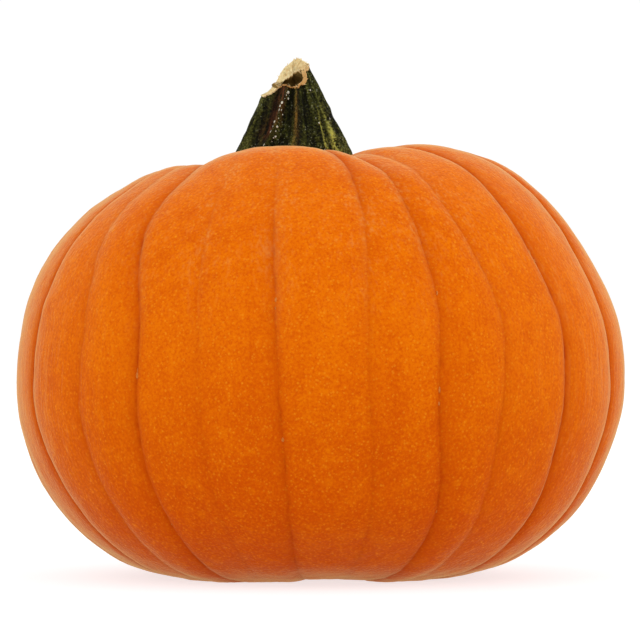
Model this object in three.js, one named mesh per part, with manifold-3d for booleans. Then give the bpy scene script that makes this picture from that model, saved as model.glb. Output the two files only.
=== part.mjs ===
// A ribbed orange pumpkin with a snapped-off green stem, standing on its blossom end.
// Millimetres, +Z up. Azimuth 0 is the side that faces -Y, and azimuth grows towards +X.
import * as THREE from "three";
import { mergeVertices } from "three/addons/utils/BufferGeometryUtils.js";
import Module from "manifold-3d";

// Half section of the fruit over the rib crests, from the blossom dimple to the stem cavity.
const fruitSection = [
  [0, 10.5],
  [14, 9],
  [30, 2.2],
  [50, -2.1],
  [75, 0.3],
  [98.5, 7.8],
  [121, 24.3],
  [137.8, 47.5],
  [148.4, 75.5],
  [151, 100.5],
  [147.8, 127.5],
  [138.5, 151.5],
  [123, 174],
  [104, 192.5],
  [84, 203],
  [66, 207],
  [48, 203.5],
  [32, 194.5],
  [15, 188.5],
  [0, 187.5],
];
const fruitRows = 36;
const fruitDepthShare = 0.97;

// The creases between the ribs: azimuth at mid height, depth, and how far the crease
// swings round towards the stem and towards the blossom end, in degrees.
const creases = [
  { at: -70.3, depth: 3.2, upper: 1, lower: 5 },
  { at: -49.5, depth: 1.8, upper: -2.5, lower: 2.5 },
  { at: -35.6, depth: 2.7, upper: -4, lower: 2 },
  { at: -22.3, depth: 0.8, upper: 0.5, lower: 2.5 },
  { at: -7.6, depth: 2.2, upper: 0, lower: 2 },
  { at: 8.9, depth: 1.1, upper: 4.5, lower: 2 },
  { at: 22, depth: 2.3, upper: 2, lower: 3.5 },
  { at: 34.9, depth: 1.7, upper: -2, lower: 1 },
  { at: 50.7, depth: 2.9, upper: 1, lower: 3.5 },
  { at: 69.5, depth: 3.3, upper: 6, lower: 3 },
  { at: 84, depth: 1.6, upper: 3, lower: 3 },
  { at: 99, depth: 3, upper: 1, lower: 2 },
  { at: 113, depth: 1.3, upper: 0, lower: 1 },
  { at: 128, depth: 2.6, upper: -2, lower: 2 },
  { at: 143.5, depth: 1.2, upper: 1, lower: 3 },
  { at: 157, depth: 3.1, upper: 3, lower: 2 },
  { at: 172, depth: 1.5, upper: 2, lower: 4 },
  { at: 186, depth: 2.5, upper: -1, lower: 1 },
  { at: 201.5, depth: 1, upper: -2, lower: 2 },
  { at: 215, depth: 2.8, upper: 2, lower: 3 },
  { at: 229.5, depth: 1.9, upper: 3, lower: 1 },
  { at: 244, depth: 3, upper: 0, lower: 2 },
  { at: 259, depth: 1.4, upper: -3, lower: 4 },
  { at: 273.5, depth: 2.4, upper: 0, lower: 3 },
];
const ribColumns = [0, 0.06, 0.2, 0.5, 0.8, 0.94];
// How far a crease reaches across its ribs, as a share of a rib's width, how much deeper it
// gets at the two ends, and how it wanders in degrees.
const creaseReach = 0.17;
const creaseDeepening = { upper: 0.5, lower: 0.6 };
const creaseWander = { degrees: 0.45, perMillimetre: 0.055 };
// Every rib stands out a little more or less than the next.
const ribSwell = { height: 0.7, phaseStep: 2.4 };

// How the fruit leaves a turned shape: the stem end sits to the left, the right shoulder is
// higher than the left one, the rim bulges up in front of the stem, and the front of the
// underside is lifted off the ground a little.
const shoulderShift = -8.2;
const cavityShift = -9;
const footShift = -1.3;
const shoulderTilt = 0.085;
const rimLift = { height: 3.8, at: -10, spread: 32 };
const frontLift = { height: 3.5, at: 4.5, spread: 32 };

// Where on the section each effect sets in: no effect at the first value, all of it at the second.
const middleHeight = 110;
const heights = {
  upper: [122, 203],
  lower: [95, 15],
  shoulder: [126, 176],
  foot: [100, 40],
  underside: [40, 10],
};
const radii = {
  crease: [0, 45],
  ribSwell: [20, 110],
  cavity: [100, 45],
  rimOuter: [118, 75],
  rimInner: [15, 45],
};

// Half section of the stem over its ridges, from inside the cavity to the snapped tip.
const stemAxis = -13.8;
const stemSection = [
  [40, 191],
  [36.5, 197],
  [33.4, 204],
  [30.6, 211],
  [27.2, 217],
  [24, 223],
  [21, 229],
  [17.9, 234.5],
  [14.8, 240],
  [11.6, 246],
  [8.4, 252],
  [5.2, 258],
];
// The ridges of the stem: azimuth at the base and at the tip, and height as a share of the radius.
const stemRidges = [
  { base: -76, tip: -55, height: 0.09 },
  { base: -38, tip: -13, height: 0.15 },
  { base: 0, tip: 7, height: 0.08 },
  { base: 32, tip: 38, height: 0.13 },
  { base: 58, tip: 64, height: 0.09 },
  { base: 95, tip: 100, height: 0.15 },
  { base: 135, tip: 140, height: 0.08 },
  { base: 170, tip: 175, height: 0.14 },
  { base: 205, tip: 215, height: 0.08 },
  { base: 245, tip: 262, height: 0.15 },
];
const ridgeColumns = [0, 0.12, 0.35, 0.65, 0.88];
const stemRows = 20;
const capRows = 5;
// Height of the snapped edge round the stem, at even steps of azimuth from the front.
const snappedEdge = [244.5, 246, 252, 255, 255.5, 256.5, 256, 252.5, 246, 239.5, 237, 240.5];
const snapFloor = { x: -2, y: -1.5, z: 242 };
// How the hollows between the ridges are rounded: 1 is a half sine, less is flatter.
const hollowFlatness = 0.7;
// The foot of the stem follows the cavity at this distance.
const stemGap = 0.35;

const rindColour = 0xe87408;
const stemColour = 0x2c3a1e;

const degrees = Math.PI / 180;

// 0 below one edge, 1 above the other, and a smooth step between them.
function smoothStep(from, to, value) {
  const share = THREE.MathUtils.clamp((value - from) / (to - from), 0, 1);
  return share * share * (3 - 2 * share);
}

// A closed surface from a lower pole, rings of points going up, and an upper pole.
function closedSurface(lowerPole, rings, upperPole) {
  const columns = rings[0].length;
  const points = [lowerPole, ...rings.flat(), upperPole];
  const faces = [];
  const at = (ring, column) => 1 + ring * columns + (column % columns);
  for (let column = 0; column < columns; column += 1) {
    faces.push(0, at(0, column + 1), at(0, column));
    for (let ring = 0; ring + 1 < rings.length; ring += 1) {
      faces.push(at(ring, column), at(ring, column + 1), at(ring + 1, column + 1));
      faces.push(at(ring, column), at(ring + 1, column + 1), at(ring + 1, column));
    }
    faces.push(at(rings.length - 1, column), at(rings.length - 1, column + 1), points.length - 1);
  }
  const geometry = new THREE.BufferGeometry().setFromPoints(points);
  geometry.setIndex(faces);
  return geometry;
}

// Azimuth of a crease at a height on the section.
function creaseAzimuth(index, height) {
  const crease = creases[index % creases.length];
  const turn = index < creases.length ? 0 : 360;
  const wave = Math.sin(height * creaseWander.perMillimetre + (index % creases.length));
  return crease.at + turn
    + crease.upper * smoothStep(...heights.upper, height)
    + crease.lower * smoothStep(...heights.lower, height)
    + creaseWander.degrees * wave;
}

// How far the skin sinks at a share of the way across a rib: sharp creases, round crests.
function sink(rib, share, radius, height) {
  const fall = (distance) => Math.exp(-distance / creaseReach) - Math.exp(-1 / creaseReach);
  const left = creases[rib].depth * fall(share);
  const right = creases[(rib + 1) % creases.length].depth * fall(1 - share);
  const deepening = 1
    + creaseDeepening.upper * smoothStep(...heights.upper, height)
    + creaseDeepening.lower * smoothStep(...heights.lower, height);
  const crest = ribSwell.height * Math.sin(rib * ribSwell.phaseStep) * Math.sin(Math.PI * share);
  return (left + right) * deepening * smoothStep(...radii.crease, radius)
    - crest * smoothStep(...radii.ribSwell, radius);
}

// A round swelling of the skin that fades with the angle from its middle.
function swelling(lift, azimuth) {
  const aside = (azimuth - lift.at) / lift.spread;
  return lift.height * Math.exp(-aside * aside);
}

// A point of the fruit's skin: the section point sunk along its normal, turned to its azimuth,
// then leaned, tilted and pressed flat where it would go below the ground.
function skinPoint(rib, share, section, normal) {
  const azimuth = THREE.MathUtils.lerp(
    creaseAzimuth(rib, section.y),
    creaseAzimuth(rib + 1, section.y),
    share,
  );
  const depth = sink(rib, share, section.x, section.y);
  const radius = section.x - normal.x * depth;
  const height = section.y - normal.y * depth;
  const top = section.y > middleHeight ? 1 : 0;
  const shoulder = smoothStep(...heights.shoulder, section.y);
  const foot = smoothStep(...heights.foot, section.y);
  const cavity = top * smoothStep(...radii.cavity, section.x);
  const rim = top * smoothStep(...radii.rimOuter, section.x) * smoothStep(...radii.rimInner, section.x);
  const underside = smoothStep(...heights.underside, section.y);
  const across = radius * Math.sin(azimuth * degrees);
  const lift = rim * swelling(rimLift, azimuth) + underside * swelling(frontLift, azimuth);
  return new THREE.Vector3(
    across + shoulderShift * shoulder + cavityShift * cavity + footShift * foot,
    -radius * Math.cos(azimuth * degrees) * fruitDepthShare,
    Math.max(height + shoulderTilt * across * shoulder + lift, 0),
  );
}

function makeFruit() {
  const curve = new THREE.SplineCurve(fruitSection.map(([r, z]) => new THREE.Vector2(r, z)));
  const rings = [];
  for (let row = 1; row < fruitRows; row += 1) {
    const section = curve.getPointAt(row / fruitRows);
    const tangent = curve.getTangentAt(row / fruitRows);
    const normal = new THREE.Vector2(tangent.y, -tangent.x);
    const ring = creases.flatMap((crease, rib) => (
      ribColumns.map((share) => skinPoint(rib, share, section, normal))
    ));
    rings.push(ring);
  }
  const blossom = new THREE.Vector3(footShift, 0, fruitSection[0][1]);
  const cavity = new THREE.Vector3(shoulderShift + cavityShift, 0, fruitSection.at(-1)[1]);
  return closedSurface(blossom, rings, cavity);
}

// Height of the snapped edge at an azimuth, smooth all the way round.
function edgeHeight(azimuth) {
  const steps = snappedEdge.length;
  const place = THREE.MathUtils.euclideanModulo(azimuth, 360) / 360 * steps;
  const before = Math.floor(place);
  const share = smoothStep(0, 1, place - before);
  return THREE.MathUtils.lerp(snappedEdge[before % steps], snappedEdge[(before + 1) % steps], share);
}

// A point of the stem's side at a share of the way between two ridges and up to the edge.
function stemPoint(ridge, share, rise, curve) {
  const here = stemRidges[ridge];
  const next = stemRidges[(ridge + 1) % stemRidges.length];
  const turn = ridge + 1 < stemRidges.length ? 0 : 360;
  const base = THREE.MathUtils.lerp(here.base, next.base + turn, share);
  const tip = THREE.MathUtils.lerp(here.tip, next.tip + turn, share);
  const azimuth = THREE.MathUtils.lerp(base, tip, rise);
  const bottom = stemSection[0][1];
  const top = stemSection.at(-1)[1];
  const height = THREE.MathUtils.lerp(bottom, edgeHeight(azimuth), rise);
  const section = curve.getPoint((height - bottom) / (top - bottom));
  const hollow = Math.sin(Math.PI * share) ** hollowFlatness;
  const radius = section.x * (1 - THREE.MathUtils.lerp(here.height, next.height, share) * hollow);
  return new THREE.Vector3(
    stemAxis + radius * Math.sin(azimuth * degrees),
    -radius * Math.cos(azimuth * degrees),
    height,
  );
}

function makeStem() {
  const curve = new THREE.SplineCurve(stemSection.map(([r, z]) => new THREE.Vector2(r, z)));
  const rings = [];
  for (let row = 0; row <= stemRows; row += 1) {
    const ring = stemRidges.flatMap((ridge, index) => (
      ridgeColumns.map((share) => stemPoint(index, share, row / stemRows, curve))
    ));
    rings.push(ring);
  }
  const floor = new THREE.Vector3(stemAxis + snapFloor.x, snapFloor.y, snapFloor.z);
  const edge = rings.at(-1);
  for (let row = 1; row < capRows; row += 1) {
    const inward = row / capRows;
    rings.push(edge.map((point) => {
      const inner = point.clone().lerp(floor, inward);
      inner.z = THREE.MathUtils.lerp(point.z, floor.z, smoothStep(0, 1, inward));
      return inner;
    }));
  }
  const foot = new THREE.Vector3(stemAxis, 0, stemSection[0][1]);
  return closedSurface(foot, rings, floor);
}

const wasm = await Module();
wasm.setup();

function toSolid(geometry) {
  const merged = mergeVertices(geometry, 1e-4);
  return new wasm.Manifold(new wasm.Mesh({
    numProp: 3,
    vertProperties: merged.attributes.position.array,
    triVerts: new Uint32Array(merged.index.array),
  }));
}

function toGeometry(solid) {
  const mesh = solid.getMesh();
  const geometry = new THREE.BufferGeometry();
  geometry.setAttribute("position", new THREE.BufferAttribute(mesh.vertProperties, 3));
  geometry.setIndex(new THREE.BufferAttribute(mesh.triVerts, 1));
  return geometry;
}

function piece(name, geometry, colour, roughness) {
  geometry.computeVertexNormals();
  const material = new THREE.MeshStandardMaterial({ color: colour, roughness, metalness: 0 });
  const mesh = new THREE.Mesh(geometry, material);
  mesh.name = name;
  return mesh;
}

const fruitGeometry = makeFruit();
const stemRoot = toSolid(makeStem());
const cavityCut = toSolid(fruitGeometry).translate([0, 0, stemGap]);
const stemGeometry = toGeometry(stemRoot.subtract(cavityCut));

const pumpkin = new THREE.Group();
pumpkin.add(piece("fruit", fruitGeometry, rindColour, 0.45));
pumpkin.add(piece("stem", stemGeometry, stemColour, 0.7));

// The origin is under the middle of the pumpkin, on the ground.
const centre = new THREE.Box3().setFromObject(pumpkin).getCenter(new THREE.Vector3());
pumpkin.position.set(-centre.x, -centre.y, 0);

export default pumpkin;
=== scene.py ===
import math
import random

import bpy
import numpy as np
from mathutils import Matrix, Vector, noise
from mathutils.bvhtree import BVHTree


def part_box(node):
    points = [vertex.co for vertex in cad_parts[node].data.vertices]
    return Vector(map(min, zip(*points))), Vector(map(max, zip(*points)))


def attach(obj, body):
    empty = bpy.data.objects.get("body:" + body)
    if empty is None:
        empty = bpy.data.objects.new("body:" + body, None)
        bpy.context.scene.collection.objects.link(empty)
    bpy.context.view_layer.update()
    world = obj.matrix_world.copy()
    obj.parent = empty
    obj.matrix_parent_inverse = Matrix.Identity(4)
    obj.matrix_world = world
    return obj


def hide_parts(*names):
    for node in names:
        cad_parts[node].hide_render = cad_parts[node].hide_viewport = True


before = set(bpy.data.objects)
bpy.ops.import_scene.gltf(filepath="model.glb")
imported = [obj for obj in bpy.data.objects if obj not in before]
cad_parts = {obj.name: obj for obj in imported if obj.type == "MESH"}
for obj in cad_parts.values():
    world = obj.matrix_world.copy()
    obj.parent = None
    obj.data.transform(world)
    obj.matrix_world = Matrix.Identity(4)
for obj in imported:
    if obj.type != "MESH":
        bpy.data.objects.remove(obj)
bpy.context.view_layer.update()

mm = 0.001
degree = math.pi / 180


class Wire:
    # an output of a node: sums and products of wires add Math nodes to the same tree
    def __init__(self, socket):
        self.socket = socket

    def __add__(self, other):
        return calc("ADD", self, other)

    def __sub__(self, other):
        return calc("SUBTRACT", self, other)

    def __rsub__(self, other):
        return calc("SUBTRACT", other, self)

    def __mul__(self, other):
        return calc("MULTIPLY", self, other)

    def __truediv__(self, other):
        return calc("DIVIDE", self, other)

    def __rtruediv__(self, other):
        return calc("DIVIDE", other, self)

    def __neg__(self):
        return calc("MULTIPLY", self, -1.0)

    __radd__ = __add__
    __rmul__ = __mul__


def feed(tree, socket, value):
    if isinstance(value, Wire):
        value = value.socket
    if isinstance(value, bpy.types.NodeSocket):
        tree.links.new(value, socket)
    else:
        socket.default_value = value


def put(tree, kind, inputs=None, **settings):
    # a node with its settings, and its inputs fed by name or number
    node = tree.nodes.new(kind)
    for name, value in settings.items():
        setattr(node, name, value)
    for key, value in (inputs or {}).items():
        feed(tree, node.inputs[key], value)
    return node


def calc(operation, *values):
    tree = next(value.socket.id_data for value in values if isinstance(value, Wire))
    node = put(tree, "ShaderNodeMath", dict(enumerate(values)), operation=operation)
    return Wire(node.outputs[0])


def fade(value, start, end):
    # 0 up to start and 1 from end on, with a smooth step between: it can run downwards too
    inputs = {"Value": value, "From Min": start, "From Max": end}
    node = put(value.socket.id_data, "ShaderNodeMapRange", inputs, interpolation_type="SMOOTHSTEP")
    return Wire(node.outputs["Result"])


def falling(value, reach):
    return calc("EXPONENT", -(value / reach))


def joinXyz(tree, x, y, z):
    return put(tree, "ShaderNodeCombineXYZ", {"X": x, "Y": y, "Z": z}).outputs[0]


def splitXyz(tree, vector):
    node = put(tree, "ShaderNodeSeparateXYZ", {0: vector})
    return [Wire(output) for output in node.outputs]


def newTree(name, kind, inputs=(), outputs=()):
    tree = bpy.data.node_groups.new(name, kind)
    for label, socketType in inputs:
        tree.interface.new_socket(label, in_out="INPUT", socket_type=socketType)
    for label, socketType in outputs:
        tree.interface.new_socket(label, in_out="OUTPUT", socket_type=socketType)
    return tree, put(tree, "NodeGroupInput").outputs, put(tree, "NodeGroupOutput").inputs


def newObject(name, points, edges=(), faces=()):
    mesh = bpy.data.meshes.new(name)
    mesh.from_pydata([tuple(map(float, point)) for point in points], edges, faces)
    piece = bpy.data.objects.new(name, mesh)
    bpy.context.scene.collection.objects.link(piece)
    return piece


def addFloats(mesh, name, values):
    attribute = mesh.attributes.new(name, "FLOAT", "POINT")
    attribute.data.foreach_set("value", np.asarray(values, np.float32).ravel())


def grow(base, tree, values):
    # runs a geometry tree on base, keeps what it makes as plain mesh and drops the modifier
    modifier = base.modifiers.new("grow", "NODES")
    modifier.node_group = tree
    for item in tree.interface.items_tree:
        if item.in_out == "INPUT" and item.name in values:
            modifier[item.identifier] = values[item.name]
    depsgraph = bpy.context.evaluated_depsgraph_get()
    grown = base.evaluated_get(depsgraph)
    mesh = bpy.data.meshes.new_from_object(grown, preserve_all_data_layers=True, depsgraph=depsgraph)
    base.modifiers.clear()
    base.data = mesh


def finishPiece(piece):
    piece.data.shade_smooth()
    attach(piece, "root")


# shared shader groups

def speckleGroup():
    # round dots scattered over the surface, of uneven size, 1 in a dot and 0 between
    tree, source, sink = newTree("speckle", "ShaderNodeTree", [
        ("Vector", "NodeSocketVector"), ("Spacing", "NodeSocketFloat"), ("Size", "NodeSocketFloat"),
        ("Share", "NodeSocketFloat"),
    ], [("Dots", "NodeSocketFloat")])
    cells = put(tree, "ShaderNodeTexVoronoi", {
        "Vector": source["Vector"], "Scale": 1.0 / Wire(source["Spacing"]),
    })
    chance, sizeDraw, _ = splitXyz(tree, cells.outputs["Color"])
    radius = Wire(source["Size"]) * (sizeDraw * 0.8 + 0.2)
    dot = fade(Wire(cells.outputs["Distance"]) / radius, 1.0, 0.35)
    feed(tree, sink["Dots"], dot * calc("LESS_THAN", chance, Wire(source["Share"])))
    return tree


def mottleGroup():
    # soft cloudy patches, from -1 to 1
    tree, source, sink = newTree("mottle", "ShaderNodeTree", [
        ("Vector", "NodeSocketVector"), ("Length", "NodeSocketFloat"), ("Detail", "NodeSocketFloat"),
    ], [("Patches", "NodeSocketFloat")])
    cloud = put(tree, "ShaderNodeTexNoise", {
        "Vector": source["Vector"], "Scale": 1.0 / Wire(source["Length"]), "Detail": source["Detail"],
    })
    feed(tree, sink["Patches"], (Wire(cloud.outputs[0]) - 0.5) * 3.0)
    return tree


speckle = speckleGroup()
mottle = mottleGroup()


def useGroup(tree, group, inputs):
    return Wire(put(tree, "ShaderNodeGroup", inputs, node_tree=group).outputs[0])


def attribute(tree, name):
    return Wire(put(tree, "ShaderNodeAttribute", attribute_name=name).outputs["Fac"])


def mixColour(tree, share, under, over, blending="MIX"):
    node = put(tree, "ShaderNodeMix", data_type="RGBA", blend_type=blending, clamp_factor=True)
    feed(tree, node.inputs[0], share)
    feed(tree, node.inputs[6], under if not isinstance(under, tuple) else (*under, 1.0))
    feed(tree, node.inputs[7], over if not isinstance(over, tuple) else (*over, 1.0))
    return node.outputs[2]


def newMaterial(name, **shader):
    material = bpy.data.materials.new(name)
    material.use_nodes = True
    tree = material.node_tree
    tree.nodes.clear()
    principled = put(tree, "ShaderNodeBsdfPrincipled")
    for label, value in shader.items():
        principled.inputs[label].default_value = value
    output = put(tree, "ShaderNodeOutputMaterial")
    tree.links.new(principled.outputs[0], output.inputs["Surface"])
    place = put(tree, "ShaderNodeTexCoord").outputs["Object"]
    return material, tree, principled, place


def raiseSurface(tree, principled, height, distance, strength=1.0):
    bump = put(tree, "ShaderNodeBump", {"Height": height, "Distance": distance, "Strength": strength})
    feed(tree, principled.inputs["Normal"], bump.outputs[0])


# fruit: half a section is turned round the axis, with a crease between every two ribs

fruitShape = {  # lengths in millimetres, angles in degrees, azimuth 0 at the front
    # radius and height of the skin over the rib crests, from blossom dimple to stem cavity
    "section": [
        (0, 10.5), (14, 9), (30, 2.2), (50, -2.1), (75, 0.3), (98.5, 7.8), (121, 24.3),
        (137.8, 47.5), (148.4, 75.5), (151, 100.5), (147.5, 127.5), (137.9, 151.3), (123.8, 173),
        (105, 190.6), (84.5, 201.2), (66, 205.8), (48, 203), (32, 194.5), (15, 188.5), (0, 187.5),
    ],
    # each crease: azimuth, swing towards the stem, swing towards the blossom end, depth, and
    # how much of that depth is left on the rim round the stem
    "creases": [
        (-68.5, 2.5, 5, 3, 1), (-49.5, -2.5, 2.5, 1.5, 0.7), (-35.6, -4, 2, 2.6, 0.8),
        (-22.3, 0.5, 2.5, 0.8, 0.4), (-7.6, 0, 2, 2.2, 0.2), (8.9, 4.5, 2, 1.1, 2.2),
        (22, 2, 3.5, 2.3, 0.9), (34.9, -2, 1, 1.4, 0.8), (50.7, 1, 3.5, 2.9, 1.1),
        (69.5, 6, 3, 3, 1), (83, 3, 3, 1, 1), (99, 1, 2, 3, 1.1),
        (113, 0, 1, 1.3, 0.8), (128, -2, 2, 2.6, 1.1), (143.5, 1, 3, 1.2, 0.7),
        (157, 3, 2, 3.1, 1.1), (172, 2, 4, 1.5, 0.8), (186, -1, 1, 2.5, 1.1),
        (201.5, -2, 2, 1, 0.7), (215, 2, 3, 2.8, 1), (229.5, 3, 1, 1.9, 0.8),
        (244, 0, 2, 3, 1.1), (259, -3, 4, 1.4, 0.8), (273.5, 0, 3, 2.4, 1),
    ],
    # where each effect sets in: no effect at the first value, all of it at the second
    "heights": {
        "upper": (122.0, 203.0), "lower": (95.0, 15.0), "shoulder": (118.0, 196.0),
        "foot": (100.0, 40.0), "underside": (40.0, 10.0), "rim": (160.0, 202.0), "ground": (2.0, 26.0),
    },
    "radii": {
        "crease": (0.0, 45.0), "ribSwell": (20.0, 110.0), "cavity": (100.0, 45.0),
        "rimOuter": (118.0, 75.0), "rimInner": (15.0, 45.0),
    },
    "middleHeight": 110.0,
    "columnsToCrease": 0.11,
    "wanderDegrees": 0.45,
    "wanderPerMm": 0.055,
    "wiggleDegrees": 0.9,
    "wiggleLength": 12.0,
    "unevenLength": 30.0,
    "ribSwellStep": 2.4,
    "shoulderShift": -8.2,
    "cavityShift": -9.0,
    "footShift": -1.3,
    "shoulderTilt": 0.077,
    # height of each swelling of the rim or the underside, azimuth of its middle, and its spread
    "rimLifts": [(5.2, -10.0, 30.0), (2.2, 62.0, 26.0), (-4.0, 27.0, 8.0), (-2.0, -42.0, 9.0)],
    "undersideLifts": [(3.5, 4.5, 32.0), (1.8, 80.0, 28.0)],
}
fruitInputs = {
    "Columns Per Rib": 20,
    "Rows": 200,
    "Depth Share": 0.97,
    "Crease Depth": 0.5,
    "Outer Reach": 0.22,  # how far a crease slopes off, as a share of the rib's width
    "Inner Reach": 0.14,
    "Softness": 0.35,  # the shallow creases have a round bottom
    "Unevenness": 0.9,
    "Deeper Above": 0.15,
    "Deeper Below": 0.1,
    "Crease Line": 0.32,
    "Crease Line Width": 1.5,
    "Rib Swell": 0.7,
    "Wave Height": 1.3,
    "Wave Length": 46.0,
    "Dent Height": 0.4,
    "Dent Length": 12.0,
    "Streak Height": 0.7,
    "Streak Length": 8.0,
}


def creaseGroup():
    # where the crease of a given number runs at a height, and how deep it is
    tree, source, sink = newTree("creaseAt", "GeometryNodeTree", [
        ("Creases", "NodeSocketGeometry"), ("Number", "NodeSocketFloat"), ("Height", "NodeSocketFloat"),
        ("Unevenness", "NodeSocketFloat"),
    ], [("Azimuth", "NodeSocketFloat"), ("Depth", "NodeSocketFloat")])
    count = float(len(fruitShape["creases"]))
    height = Wire(source["Height"])
    turn = calc("FLOOR", Wire(source["Number"]) / count)
    index = Wire(source["Number"]) - turn * count

    def look(kind, value):
        node = put(tree, "GeometryNodeSampleIndex", data_type=kind)
        feed(tree, node.inputs["Geometry"], source["Creases"])
        feed(tree, node.inputs["Value"], value)
        feed(tree, node.inputs["Index"], index)
        return node.outputs[0]

    def named(name):
        node = put(tree, "GeometryNodeInputNamedAttribute", {"Name": name}, data_type="FLOAT")
        return Wire(look("FLOAT", node.outputs[0]))

    swings = look("FLOAT_VECTOR", put(tree, "GeometryNodeInputPosition").outputs[0])
    azimuth, upper, lower = splitXyz(tree, swings)
    azimuth = azimuth + turn * 360.0
    azimuth = azimuth + upper * fade(height, *fruitShape["heights"]["upper"])
    azimuth = azimuth + lower * fade(height, *fruitShape["heights"]["lower"])

    def noiseAlong(length):
        # about -0.5 to 0.5 along the crease, different for every crease
        cloud = put(tree, "ShaderNodeTexNoise", {
            "Vector": joinXyz(tree, index * 17.3, 0.0, height), "Scale": 1.0 / length, "Detail": 1.0,
        })
        return Wire(cloud.outputs[0]) - 0.5

    wave = calc("SINE", height * fruitShape["wanderPerMm"] + index) * fruitShape["wanderDegrees"]
    wiggle = noiseAlong(fruitShape["wiggleLength"]) * fruitShape["wiggleDegrees"]
    feed(tree, sink["Azimuth"], azimuth + wave + wiggle)
    depth = named("depth") * ((named("onRim") - 1.0) * fade(height, *fruitShape["heights"]["rim"]) + 1.0)
    uneven = noiseAlong(fruitShape["unevenLength"]) * Wire(source["Unevenness"]) + 1.0
    feed(tree, sink["Depth"], depth * uneven)
    return tree


def swelling(azimuth, height, middle, spread):
    aside = (azimuth - middle) / spread
    return calc("EXPONENT", -(aside * aside)) * height


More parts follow.
